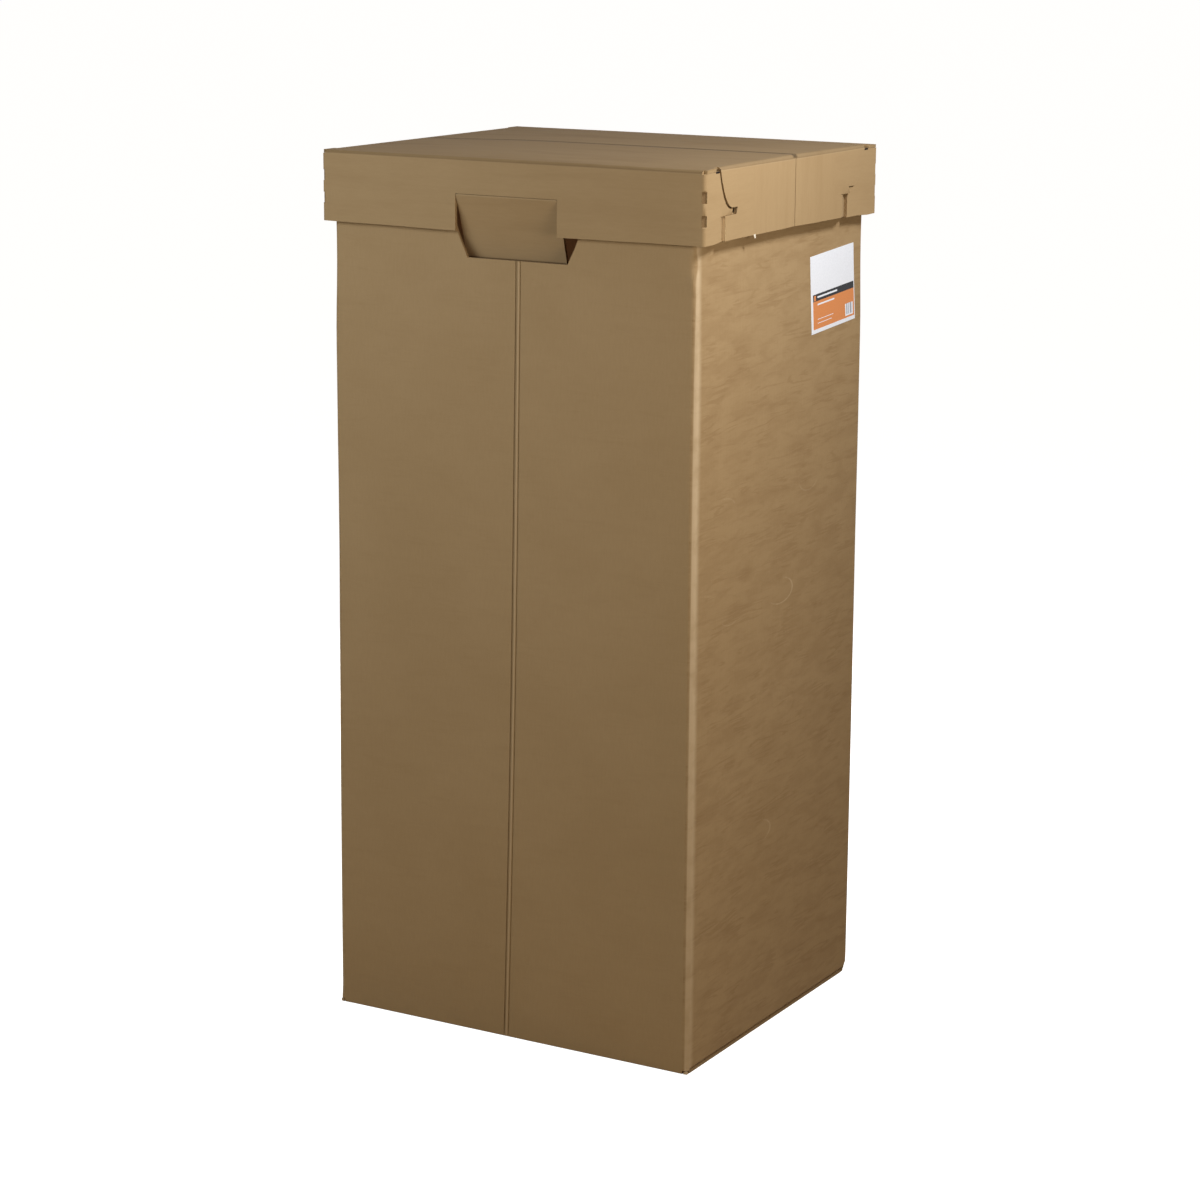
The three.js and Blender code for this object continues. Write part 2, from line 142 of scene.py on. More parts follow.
class Graph:
    """Short calls for building a node material."""

    def __init__(self, name):
        self.material = bpy.data.materials.new(name)
        self.material.use_nodes = True
        self.nodes = self.material.node_tree.nodes
        self.links = self.material.node_tree.links
        self.shader = self.nodes["Principled BSDF"]

    def add(self, kind, **values):
        node = self.nodes.new(kind)
        for key, value in values.items():
            setattr(node, key, value)
        return node

    def feed(self, value, socket):
        if isinstance(value, bpy.types.NodeSocket):
            self.links.new(value, socket)
        else:
            socket.default_value = value

    def math(self, operation, *values):
        node = self.add("ShaderNodeMath", operation=operation)
        for i, value in enumerate(values):
            self.feed(value, node.inputs[i])
        return node.outputs[0]

    def times(self, *values):
        product = values[0]
        for value in values[1:]:
            product = self.math("MULTIPLY", product, value)
        return product

    def plus(self, *values):
        total = values[0]
        for value in values[1:]:
            total = self.math("ADD", total, value)
        return total

    def minus(self, first, second):
        return self.math("SUBTRACT", first, second)

    def size(self, value):
        return self.math("ABSOLUTE", value)

    def away(self, value, level):
        """How far a value is from a level, on either side."""
        return self.size(self.minus(value, level))

    def mix(self, factor, first, second, blend="MIX"):
        node = self.add("ShaderNodeMix", data_type="RGBA", blend_type=blend)
        self.feed(factor, node.inputs[0])
        self.feed(first, node.inputs[6])
        self.feed(second, node.inputs[7])
        return node.outputs[2]

    def ramp(self, value, low, high, low_out=0.0, high_out=1.0):
        """A smooth step from one output to another, as the value goes from low to high."""
        node = self.add("ShaderNodeMapRange", interpolation_type="SMOOTHSTEP")
        for i, number in enumerate((value, low, high, low_out, high_out)):
            self.feed(number, node.inputs[i])
        return node.outputs[0]

    def fade(self, value, full, none, most=1.0):
        """The most where the value is up to full, and 0 from none on."""
        return self.ramp(value, full, none, most, 0.0)

    def noise(self, vector, scale, detail, roughness=0.55, distortion=0.0):
        node = self.add("ShaderNodeTexNoise")
        self.feed(vector, node.inputs["Vector"])
        node.inputs["Scale"].default_value = scale
        node.inputs["Detail"].default_value = detail
        node.inputs["Roughness"].default_value = roughness
        node.inputs["Distortion"].default_value = distortion
        return node.outputs[0]

    def stretched(self, vector, x, y, z):
        node = self.add("ShaderNodeVectorMath", operation="MULTIPLY")
        self.feed(vector, node.inputs[0])
        node.inputs[1].default_value = (x, y, z)
        return node.outputs[0]

    def grain(self, vector, u_scale, v_scale, *kind):
        """Noise with a scale of its own, per metre, each way; kind is detail, roughness, distortion."""
        return self.noise(self.stretched(vector, u_scale, v_scale, 1.0), 1.0, *kind)

    def split(self, vector):
        node = self.add("ShaderNodeSeparateXYZ")
        self.feed(vector, node.inputs[0])
        return node.outputs

    def bump(self, height, distance, strength=1.0, normal=None):
        node = self.add("ShaderNodeBump")
        node.inputs["Strength"].default_value = strength
        node.inputs["Distance"].default_value = distance
        self.feed(height, node.inputs["Height"])
        if normal is not None:
            self.feed(normal, node.inputs["Normal"])
        return node.outputs[0]

    def surface(self, color, normal, roughness, specular):
        """Colour and normal of the shader, with its plain numbers set on its own sockets."""
        self.feed(color, self.shader.inputs["Base Color"])
        self.feed(normal, self.shader.inputs["Normal"])
        self.shader.inputs["Roughness"].default_value = roughness
        self.shader.inputs["Specular IOR Level"].default_value = specular
        return self.material


def place(g):
    """The point in the frame, in metres."""
    return g.add("ShaderNodeTexCoord").outputs["Object"]


def uv_layer(g, name):
    """The coordinates that paint_sheet has laid out under a name."""
    return g.add("ShaderNodeUVMap", uv_map=name).outputs[0]


def flute_wave(g, across):
    """A sine with the pitch of the flutes."""
    return g.math("SINE", g.times(across, 2 * math.pi / FLUTE_PITCH))


KRAFT = srgb(168, 139, 101)
KRAFT_LIGHT = srgb(184, 155, 117)
KRAFT_DARK = srgb(146, 116, 80)
# Pale rubbed paper, also painted on as highlight along the near fold's strip and the carton crease's
# ridge.
KRAFT_RUBBED_AND_LIT = srgb(208, 182, 148)
EDGE_SHADE = srgb(148, 120, 86)
# Painted light for the cut edges beside the slit in the lid's near end.
SLIT_LIGHT = srgb(240, 218, 184)
SHADOWED = srgb(46, 32, 22)
# Painted shade for the inside of the small relief holes.
HOLE_SHADE = srgb(22, 12, 9)
# Painted shade for the perforations' slanted cut faces.
NICK_FACE_SHADE = srgb(116, 90, 60)
# Painted shade for the lid's top, multiplied into its colour.
TOP_SHADE = (0.62, 0.6, 0.56, 1)
FLUTE_PITCH = 7.6 * MM

# Grains of the board: scale across and along the flutes, detail, roughness, distortion
WEAVE = (420, 60, 2, 0.5)
FIBRE = (240, 1100, 3, 0.6)
CLOUD = (16, 46, 4, 0.6, 0.4)
WRINKLE = (9, 85, 3, 0.5, 0.9)
FINE_WRINKLE = (40, 210, 3, 0.55, 0.6)
THREAD = (11, 110, 2, 0.5, 0.5)
THREAD_PATCH = (15, 34, 2)
STREAK = (130, 7, 4, 0.6)
BAND = (34, 5, 3, 0.5)
SMUDGE = (5, 16, 4, 0.6)

# Places of the marks
wrinkle_lean = 0.02
rubbed_reach = 5 * MM
strip_from = 5 * MM
strip_to = 17 * MM
hole_y = 198.9 * MM
hole_half_y = 5.6 * MM
hole_z = 1097.1 * MM
hole_half_z = 2.3 * MM
nick_depth = 6.2 * MM
slit_y = -180.5 * MM
slit_top = 1043 * MM
plain_edges_above = 1090 * MM
tongue_tip = 978 * MM


def kraft(name, flute_depth, marks):
    """Kraft liner: soft blotches, fine fibres, faint flutes, and the marks that one sheet alone has."""
    g = Graph(name)
    where = place(g)
    sheet = uv_layer(g, "flutes")
    u = g.split(sheet)[0]
    blotch = g.noise(where, 6.0, 3.0)
    weave = g.grain(sheet, *WEAVE)
    fibre = g.grain(sheet, *FIBRE)
    speck = g.noise(where, 1500.0, 2.0, 0.6)
    color = g.mix(g.ramp(blotch, 0.35, 0.65, 0.0, 0.2), KRAFT, KRAFT_LIGHT)
    color = g.mix(g.ramp(weave, 0.3, 0.7, 0.0, 0.09), color, KRAFT_DARK)
    color = g.mix(g.ramp(fibre, 0.35, 0.65, 0.0, 0.08), color, KRAFT_LIGHT)
    color = g.mix(g.ramp(speck, 0.62, 0.8, 0.0, 0.09), color, KRAFT_DARK)
    color, relief = marks(g, where, sheet, color)
    flutes = g.bump(flute_wave(g, u), flute_depth)
    rough = g.plus(g.times(fibre, 0.2), relief)
    return g.surface(color, g.bump(rough, 0.5 * MM, 0.5, flutes), 0.74, 0.12)


def near_level(g, coordinate, level, reach):
    """1 where a coordinate is at plus or minus a level, falling to 0 at reach."""
    return g.fade(g.away(g.size(coordinate), level), 0.2 * reach, reach)


def scuff_and_highlight(g, where, mask, color, amount):
    """Pale rubbed paper where the mask is, a little uneven; on the strip beside the near fold it is
    also a painted highlight.
    """
    uneven = g.ramp(g.noise(where, 45.0, 4.0), 0.25, 0.6, 0.6 * amount, amount)
    return g.mix(g.times(mask, uneven), color, KRAFT_RUBBED_AND_LIT)


def arc(g, where, centre_y, centre_z, radius_y, radius_z, width, first, last):
    """A thin curved scratch on an end wall: part of an oval, between two angles in turns."""
    _, y, z = g.split(where)
    dy = g.math("DIVIDE", g.minus(y, centre_y * MM), radius_y * MM)
    dz = g.math("DIVIDE", g.minus(z, centre_z * MM), radius_z * MM)
    reach = g.math("SQRT", g.plus(g.times(dy, dy), g.times(dz, dz)))
    line = g.fade(g.away(reach, 1.0), 0.0, width / radius_z)
    turn = g.math("DIVIDE", g.math("ARCTAN2", dz, dy), 2 * math.pi)
    middle = 0.5 * (first + last)
    half = 0.5 * (last - first)
    return g.times(line, g.fade(g.away(turn, middle), 0.6 * half, half))


# Centre y and z, radius y and z, width in mm, first and last angle in turns, strength
SCRATCHES = [
    (4, 563, 33, 16, 1.3, -0.42, 0.24, 0.5),
    (77, 694, 26, 15, 1.6, -0.5, -0.02, 0.2),
    (-130, 556, 22, 10, 1.3, -0.45, -0.1, 0.22),
    (-150, 690, 30, 14, 1.5, 0.02, 0.3, 0.16),
    (-47, 262, 34, 15, 1.3, -0.2, 0.2, 0.3),
]


def wrinkles(g, sheet, color, share):
    """Wrinkles that run nearly level, in four sizes, with painted shade in them, and their relief."""
    across, up, _ = g.split(sheet)
    slanted = g.add("ShaderNodeCombineXYZ")
    g.feed(across, slanted.inputs[0])
    g.feed(g.minus(up, g.times(across, wrinkle_lean)), slanted.inputs[1])
    slanted = slanted.outputs[0]
    cloud = g.grain(slanted, *CLOUD)
    creased = g.ramp(g.grain(slanted, *WRINKLE), 0.55, 0.74)
    fine = g.grain(slanted, *FINE_WRINKLE)
    thread = g.fade(g.away(g.grain(slanted, *THREAD), 0.5), 0.015, 0.07)
    patch = g.ramp(g.grain(slanted, *THREAD_PATCH), 0.48, 0.62)
    layers = [
        (g.ramp(cloud, 0.38, 0.68), 0.36),
        (creased, 0.34),
        (g.ramp(fine, 0.5, 0.75), 0.22),
        (g.times(thread, patch), 0.42),
    ]
    # The colour is darkened with the wrinkles: painted shade in their hollows.
    for mask, strength in layers:
        color = g.mix(g.times(mask, g.times(share, strength)), color, KRAFT_DARK)
    relief = g.plus(g.times(cloud, 0.45), g.plus(g.times(creased, 0.4), g.times(fine, 0.25)))
    return color, g.times(relief, share)


def carton_marks(g, where, sheet, color):
    """Wrinkled end walls with painted shade in the wrinkles, a pale rubbed line with painted highlight
    on the crease's ridge and painted shade beside it, rubbed corner folds with pale rubbed paper and
    painted highlight on a strip beside the near fold, and a few scratches.
    """
    x, y, z = g.split(where)
    on_end = g.ramp(g.size(x), half_width - 6 * MM, half_width - 5 * MM)
    share = g.plus(g.times(on_end, 0.85), 0.15)
    color, relief = wrinkles(g, sheet, color, share)
    path = g.times(z, g.plus(g.times(z, crease_bend), crease_slope))
    off = g.minus(g.minus(x, path), crease_foot_x)
    inside = g.minus(1.0, on_end)
    # Painted highlight with pale rubbed paper along the crease's ridge, and painted shade along its
    # left side.
    crest = g.fade(g.away(off, 0.5 * MM), 0.3 * MM, 1.5 * MM, 0.42)
    valley = g.fade(g.away(off, -2.0 * MM), 0.2 * MM, 1.7 * MM, 0.4)
    color = g.mix(g.times(valley, inside), color, KRAFT_DARK)
    color = g.mix(g.times(crest, inside), color, KRAFT_RUBBED_AND_LIT)
    folds = g.times(near_level(g, x, half_width, rubbed_reach),
                    near_level(g, y, half_depth, rubbed_reach))
    color = scuff_and_highlight(g, where, folds, color, 0.25)
    # Painted highlight with pale rubbed paper on the strip beside the near fold, stronger higher up.
    strip = g.times(g.ramp(x, half_width - 3.2 * MM, half_width - 2 * MM),
                    g.fade(y, strip_from - half_depth, strip_to - half_depth))
    color = scuff_and_highlight(g, where, g.times(strip, g.ramp(z, 0.0, 0.9, 0.75, 1.0)), color, 0.9)
    right = g.ramp(x, 0.0, 0.1)
    broken = g.ramp(g.noise(where, 90.0, 3.0), 0.32, 0.55, 0.35, 1.0)
    for *shape, strength in SCRATCHES:
        line = g.times(arc(g, where, *shape), g.times(right, g.times(broken, strength)))
        color = g.mix(line, color, KRAFT_RUBBED_AND_LIT)
    return color, relief


def relief_hole(g, where):
    """1 inside the small die-cut holes at the ends of the corner flaps' curves."""
    x, y, z = g.split(where)
    level = g.fade(g.away(g.size(y), hole_y), hole_half_y - 0.2 * MM, hole_half_y + 0.2 * MM)
    height = g.fade(g.away(z, hole_z), hole_half_z - 0.1 * MM, hole_half_z + 0.1 * MM)
    return g.times(g.times(level, height), g.ramp(g.size(x), 250 * MM, 252 * MM))


def perforation(g, inset_x, inset_y):
    """1 on the slanted faces that the perforations leave in the corner folds."""
    off = g.away(g.plus(inset_x, inset_y), nick_depth)
    return g.times(g.fade(off, 0.7 * MM, 0.9 * MM),
                   g.ramp(g.math("MINIMUM", inset_x, inset_y), 0.7 * MM, 0.9 * MM))


def lid_marks(g, where, sheet, color):
    """Streaks, smudges, rubbed end folds, and painted shade: a line along the top's crease, in the
    relief holes, on the perforations' slanted cut faces, at the tongues' tips, and over the top and its
    front and back folds.
    """
    x, y, z = g.split(where)
    end = near_level(g, x, lid_end, 4 * MM)
    top = g.ramp(z, lid_top - 4 * MM, lid_top - 1 * MM)
    inset_x = g.minus(lid_end, g.size(x))
    inset_y = g.minus(lid_front, g.size(y))
    streak = g.grain(sheet, *STREAK)
    band = g.grain(sheet, *BAND)
    lines = g.plus(g.times(g.ramp(streak, 0.4, 0.7), 0.1), g.times(g.ramp(band, 0.45, 0.7), 0.16))
    color = g.mix(lines, color, KRAFT_DARK)
    smudge = g.ramp(g.grain(where, *SMUDGE), 0.5, 0.72, 0.0, 0.4)
    color = g.mix(g.times(smudge, top), color, KRAFT_DARK)
    color = scuff_and_highlight(g, where, g.times(end, top), color, 0.22)
    # Painted shade along the crease in the lid's top.
    crease = g.fade(g.away(y, -1.5 * MM), 2 * MM, 8 * MM, 0.62)
    crease = g.times(crease, g.ramp(z, lid_top - 1 * MM, lid_top - 0.5 * MM))
    color = g.mix(crease, color, SHADOWED)
    # Painted shade on the slanted cut faces of the perforations.
    color = g.mix(g.times(perforation(g, inset_x, inset_y), 0.8), color, NICK_FACE_SHADE)
    # Painted shade in the small relief holes, over what shows through them.
    color = g.mix(relief_hole(g, where), color, HOLE_SHADE)
    # Painted shade over the lid's top and down its rounded front and back folds.
    fold = g.times(g.fade(inset_y, 4.6 * MM, 6 * MM), g.ramp(inset_x, 0.5 * MM, 1.5 * MM))
    top_shade = g.math("MAXIMUM", g.ramp(z, lid_top - 2.4 * MM, lid_top - 1.6 * MM),
                    g.times(fold, g.ramp(z, lid_top - 4.2 * MM, lid_top - 2.6 * MM)))
    color = g.mix(top_shade, color, TOP_SHADE, "MULTIPLY")
    # Painted shade on the tongues' tips where they pass behind the cut-out's sill.
    color = g.mix(g.fade(z, tongue_tip, tongue_tip + 3 * MM, 0.75), color, SHADOWED)
    return color, g.times(g.plus(streak, band), 0.3)


def cut_edge(name):
    """Cut edge of the board: two liners with the wavy medium between them, with painted light beside
    the lid's slit and painted shade in the relief holes.
    """
    g = Graph(name)
    where = place(g)
    along, through, _ = g.split(uv_layer(g, "edge"))
    crosses_flutes = g.split(uv_layer(g, "edge_kind"))[0]
    middle = g.plus(g.times(g.times(flute_wave(g, along), crosses_flutes), 0.33), 0.5)
    medium = g.fade(g.away(through, middle), 0.07, 0.12)
    liners = g.ramp(g.away(through, 0.5), 0.37, 0.42)
    paper = g.math("MAXIMUM", medium, liners)
    bright = g.mix(g.ramp(g.noise(where, 900.0, 3.0, 0.6), 0.3, 0.7), KRAFT, KRAFT_LIGHT)
    color = g.mix(paper, EDGE_SHADE, bright)
    _, y, z = g.split(where)
    # Painted light on the cut edges beside the slit in the lid's near end, pale against their shade.
    slit_light = g.times(g.fade(g.away(y, slit_y), 3 * MM, 5 * MM),
                   g.times(g.ramp(z, 1.0, 1.01), g.fade(z, slit_top - 3 * MM, slit_top + 3 * MM)))
    color = g.mix(g.times(slit_light, 0.9), color, SLIT_LIGHT)
    # Painted shade in the small relief holes, on the cut edges there.
    color = g.mix(relief_hole(g, where), color, HOLE_SHADE)
    plain = g.ramp(z, plain_edges_above - 2 * MM, plain_edges_above + 2 * MM, 0.0, 0.75)
    color = g.mix(plain, color, KRAFT)
    return g.surface(color, g.bump(paper, 0.3 * MM), 0.9, 0.1)


def printed(name, color, roughness=0.42):
    """Coated label paper or ink on it, with a very slight mottle."""
    g = Graph(name)
    mottle = g.noise(place(g), 600.0, 3.0)
    tint = tuple(min(1.0, c * 0.93) for c in color[:3]) + (1.0,)
    mixed = g.mix(g.ramp(mottle, 0.3, 0.7), color, tint)
    return g.surface(mixed, g.bump(mottle, 0.02 * MM), roughness, 0.15)


def zinc_steel(name):
    """Zinc plated steel sheet, lightly brushed along the rail."""
    g = Graph(name)
    where = place(g)
    brushed = g.noise(g.stretched(where, 12.0, 900.0, 900.0), 1.0, 3.0)
    spangle = g.noise(where, 120.0, 3.0)
    base = g.mix(g.ramp(spangle, 0.35, 0.65), srgb(176, 180, 186), srgb(204, 206, 210))
    g.feed(base, g.shader.inputs["Base Color"])
    g.feed(g.ramp(brushed, 0.3, 0.7, 0.26, 0.42), g.shader.inputs["Roughness"])
    g.shader.inputs["Metallic"].default_value = 1.0
    return g.material


# Meshes

weld_distance = 1e-6
probe_inset = 2e-5
probe_reach = 0.1
thickest_liner = 2.2 * board
flat_angle = math.radians(0.5)
sharp_angle = math.radians(28)
flat_weight = 60


def copied(node):
    """A bmesh of a CAD node with its flat faces made whole."""
    bm = bmesh.new()
    bm.from_mesh(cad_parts[node].data)
    bmesh.ops.remove_doubles(bm, verts=bm.verts, dist=weld_distance)
    bmesh.ops.dissolve_limit(bm, angle_limit=flat_angle, verts=bm.verts, edges=bm.edges)
    return bm


def slice_at(bm, point, normal):
    """Cuts the faces where a plane crosses them."""
    geometry = bm.verts[:] + bm.edges[:] + bm.faces[:]
    bmesh.ops.bisect_plane(bm, geom=geometry, dist=weld_distance, plane_co=point, plane_no=normal)


def slice_evenly(bm, low, high, pitch):
    """Cuts the faces on a grid of planes, so that the sheet can bow and crush."""
    for axis in range(3):
        normal = Vector((0, 0, 0))
        normal[axis] = 1
        count = max(2, round((high[axis] - low[axis]) / pitch))
        for i in range(1, count):
            at = Vector((0, 0, 0))
            at[axis] = low[axis] + (high[axis] - low[axis]) * i / count
            slice_at(bm, at, normal)


def wall_thickness(face, tree):
    """How far it is through the solid behind a face."""
    start = face.calc_center_median() - face.normal * probe_inset
    hit = tree.ray_cast(start, -face.normal, probe_reach)
    return hit[3] if hit[0] is not None else probe_reach


def paint_sheet(bm, lay):
    """Material 0 on the liners and 1 on the cut edges, with coordinates that follow the flutes."""
    tree = BVHTree.FromBMesh(bm)
    flutes = bm.loops.layers.uv.new("flutes")
    edge = bm.loops.layers.uv.new("edge")
    kind = bm.loops.layers.uv.new("edge_kind")
    bm.faces.ensure_lookup_table()
    for face in bm.faces:
        face.material_index = 1 if wall_thickness(face, tree) > thickest_liner else 0
    for face in bm.faces:
        if face.material_index == 0:
            across, along = lay(face.calc_center_median(), face.normal)
            for loop in face.loops:
                loop[flutes].uv = (across(loop.vert.co), along(loop.vert.co))
            continue
        liners = [f for e in face.edges for f in e.link_faces if f.material_index == 0]
        if not liners:
            face.material_index = 0
            continue
        liner = max(liners, key=lambda f: f.calc_area())
        through = liner.normal.copy()
        run = face.normal.cross(through)
        if run.length < 1e-6:
            continue
        run.normalize()
        across, along = lay(liner.calc_center_median(), liner.normal)
        middle = liner.calc_center_median()
        turned = abs(along(middle + face.normal * 0.01) - along(middle)) / 0.01
        level = [v.co.dot(through) for v in face.verts]
        low = min(level)
        span = max(max(level) - low, 1e-5)
        for loop in face.loops:
            loop[edge].uv = (loop.vert.co.dot(run), (loop.vert.co.dot(through) - low) / span)
            loop[kind].uv = (1.0 if turned > 0.5 else 0.0, 0.0)


def finished(name, bm, body, node, materials):
    """Turns a bmesh into the piece that stands for a CAD node."""
    bmesh.ops.triangulate(bm, faces=[f for f in bm.faces if len(f.verts) > 4])
    mesh = bpy.data.meshes.new(name)
    bm.to_mesh(mesh)
    bm.free()
    for material in materials:
        mesh.materials.append(material)
    mesh.shade_smooth()
    mesh.set_sharp_from_angle(angle=sharp_angle)
    piece = bpy.data.objects.new(name, mesh)
    bpy.context.collection.objects.link(piece)
    even = piece.modifiers.new("flat_faces", "WEIGHTED_NORMAL")
    even.keep_sharp = True
    even.weight = flat_weight
    if node:
        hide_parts(node)
    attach(piece, body)
    return piece


def bell(distance, reach):
    """1 at the middle, falling smoothly to 0 at reach."""
    t = min(1.0, abs(distance) / reach)
    return (1 - t * t) ** 2


def lay_carton(middle, normal):
    """Flutes stand upright in the walls and run on under the bottom flaps."""
    if abs(normal.z) > 0.7:
        if middle.z < 3 * MM:
            return (lambda p: p.x), (lambda p: p.y)
        return (lambda p: p.y), (lambda p: p.x)
    if abs(normal.y) > abs(normal.x):
        return (lambda p: p.x), (lambda p: p.z)
    return (lambda p: p.y + half_depth + half_width), (lambda p: p.z)


def lay_lid(middle, normal):
    """Flutes run along the wide top, down the ends and level in the front, back and corner flaps."""
    if abs(normal.z) > 0.7:
        return (lambda p: p.y), (lambda p: p.x)
    if abs(normal.y) > abs(normal.x):
        return (lambda p: p.z), (lambda p: p.x)
    if abs(middle.x) > lid_end - 4.15 * MM and abs(middle.y) > 120 * MM:
        return (lambda p: p.z), (lambda p: p.y)
    return (lambda p: p.y), (lambda p: p.z)


def tighter(p):
    """Draws the outside of the bottom folds out to a tighter bend."""
    outer_bend = 4.6 * MM
    skin_radius = 3.6 * MM
    share = 0.6
    move = Vector((0, 0, 0))
    if p.z > outer_bend:
        return move
    for axis, half in ((0, half_width), (1, half_depth)):
        inset = half - abs(p[axis])
        reach = math.hypot(inset - outer_bend, p.z - outer_bend)
        if -0.1 * MM < inset < outer_bend and reach > skin_radius:
            move[axis] += math.copysign(share * inset, p[axis])
            move.z -= share * p.z
            break
    return move


def walls_bowed(p):
    """Bow and waves of the four walls, the crease with its bead, and the lifted sill."""
    move = Vector((0, 0, 0))
    upright = math.sin(math.pi * min(1, max(0, p.z / body_top)))
    if abs(p.y) > half_depth - wall_skin:
        side = math.copysign(1, p.y)
        span = math.cos(0.5 * math.pi * p.x / half_width)
        bow = front_bow * upright * span
        wave = front_wave * noise.noise(Vector((p.x * 4, p.z * 3, 7.0 * side))) * span
        line = crease_foot_x + crease_slope_line * p.z
        outside = abs(p.y) > half_depth - 0.5 * MM
        bead = bead_rise * bell((p.x - line) / bead_half, 1.0) if outside else 0
        move.y += side * (bow + wave * upright + bead)
        move.x += (crease_x(p.z) - line) * bell(p.x - line, 60 * MM)
        beside = bell(max(0.0, abs(p.x - sill_middle) - sill_half), 25 * MM)
        beyond = bell(p.z - sill_level, (36 if p.z < sill_level else 30) * MM)
        move.z += sill_lift * beside * beyond
    if abs(p.x) > half_width - wall_skin:
        side = math.copysign(1, p.x)
        span = math.cos(0.5 * math.pi * p.y / half_depth)
        wave = end_wave * noise.noise(Vector((p.y * 5, p.z * 3.5, 3.0 * side))) * span
        move.x += side * (end_bow * upright * span + wave * upright)
    return move


def spread_and_neck(p):
    """The carton spreads towards its foot and is drawn in under the lid, by its walls alone."""
    move = Vector((0, 0, 0))
    out_x = (p.x / half_width) ** 2
    out_y = (p.y / half_depth) ** 2
    low = 1 - min(1.0, p.z / (600 * MM))
    spread = (low_left if p.x < 0 else low_right) * low * (2 - low)
    if p.x < 0 and p.z > 700 * MM:
        spread = high_left * min(1.0, (p.z - 700 * MM) / (200 * MM))
    neck = bell(p.z - neck_level, neck_reach)
    spread -= (neck_left if p.x < 0 else neck_right) * neck
    move.x += math.copysign(1, p.x) * spread * out_x
    if p.x > 0 and p.y > 0:
        move.y -= neck_back * neck * out_x ** 2 * out_y
    lower = min(1.0, max(0.0, (940 * MM - p.z) / (200 * MM)))
    move.y += math.copysign(low_front * lower, p.y) * out_y
    return move


def crushed(p):
    """Knocks at four places: two on the near fold under the lid, two at bottom corners."""
    move = Vector((0, 0, 0))
    near_off = math.hypot(p.x - half_width, p.y + half_depth)
    for reach, level, level_reach, shift in FOLD_KNOCKS:
        move += Vector(shift) * MM * bell(near_off, reach) * bell(p.z - level, level_reach)
    for corner, reach, shift in CORNER_KNOCKS:
        move += Vector(shift) * MM * bell((p - Vector(corner)).length, reach)
    return move


def shape_carton(p):
    """All that bends the carton and what is stuck to it, as an offset for a point."""
    return walls_bowed(p) + tighter(p) + spread_and_neck(p) + crushed(p)


def crown(x, y):
    """How far the lid's top has come up at a place: nothing at the left end, most along the crease."""
    along = min(1.0, max(0.0, (x + lid_end) / (0.7 * lid_end)))
    along = along * along * (3 - 2 * along)
    dome = 1 - min(1.0, abs(y) / lid_front) ** 6
    ridge = math.exp(-abs(y) / ridge_reach)
    return along * (crown_rise * dome + ridge_rise * ridge)


def shape_lid(p):
    """Dome of the lid's top and waves in its skirt."""
    move = Vector((0, 0, 0))
    down = (lid_top - p.z) / (lid_top - lid_foot)
    on_end_wall = p.x > lid_end - end_wall_skin and abs(p.y) < end_wall_half
    if p.z > lid_top - top_skin or on_end_wall:
        move.z += crown(p.x, p.y)
    if abs(p.y) > lid_front - wall_skin:
        side = math.copysign(1, p.y)
        move.y += side * down * skirt_wave * noise.noise(Vector((p.x * 12, 5.0 * side, 1.0)))
        move.z -= skirt_sag * down ** 3 * bell(p.x, skirt_sag_half)
    if p.z < lid_foot + foot_reach:
        move.z += foot_wave * noise.noise(Vector((p.x * 16, p.y * 16, 6.0)))
    return move


def moved(bm, offset):
    """Moves each point by its offset."""
    for vert in bm.verts:
        vert.co += offset(vert.co.copy())


# Pieces

kraft_body = kraft("kraft_body", 0.006 * MM, carton_marks)
kraft_lid = kraft("kraft_lid", 0.008 * MM, lid_marks)
edge_paper = cut_edge("board_edge")

# Pitch of the cuts that let a sheet bend, and the places of more cuts in mm: beside the crease, up
# the walls, and in from the folds
slice_pitch = 24 * MM
tongue_slice_pitch = 9 * MM
bead_slices = (-2.1, -1.4, -0.7, 0, 0.7, 1.4, 2.1)
level_slices = (3, 7, 12, 954, 960, 966, 972, 976, 981, 985, 990, 995, 1000, 1006)
fold_slices = (3, 7, 12)


def make_carton():
    """The carton's sheet, with a small plug in each bottom corner where the folds leave a gap."""
    bm = copied("carton")
    slice_evenly(bm, carton_low, carton_high, slice_pitch)
    lean = Vector((1, 0, -crease_slope_line)).normalized()
    for step in bead_slices:
        slice_at(bm, Vector((crease_foot_x + step * MM, 0, 0)), lean)
    for z in level_slices:
        slice_at(bm, Vector((0, 0, z * MM)), Vector((0, 0, 1)))
    for inset in fold_slices:
        slice_at(bm, Vector((half_width - inset * MM, 0, 0)), Vector((1, 0, 0)))
        slice_at(bm, Vector((0, half_depth - inset * MM, 0)), Vector((0, 1, 0)))
        slice_at(bm, Vector((0, inset * MM - half_depth, 0)), Vector((0, 1, 0)))
    paint_sheet(bm, lay_carton)
    # A plug is a small cube
    plug = 3.6 * MM
    plug_inset = 3.4 * MM
    plug_foot = 0.3 * MM
    for side in (-1, 1):
        for end in (-1, 1):
            at = Vector((side * (half_width - plug_inset), end * (half_depth - plug_inset),
                         plug_foot + plug / 2))
            bmesh.ops.create_cube(bm, size=plug, matrix=Matrix.Translation(at))
    moved(bm, shape_carton)
    return finished("carton_board", bm, "carton", "carton", [kraft_body, edge_paper])


def make_lid():
    """The lid's sheet."""
    bm = copied("lid")
    slice_evenly(bm, lid_low, lid_high, slice_pitch)
    paint_sheet(bm, lay_lid)
    moved(bm, shape_lid)
    return finished("lid_board", bm, "lid", "lid", [kraft_lid, edge_paper])


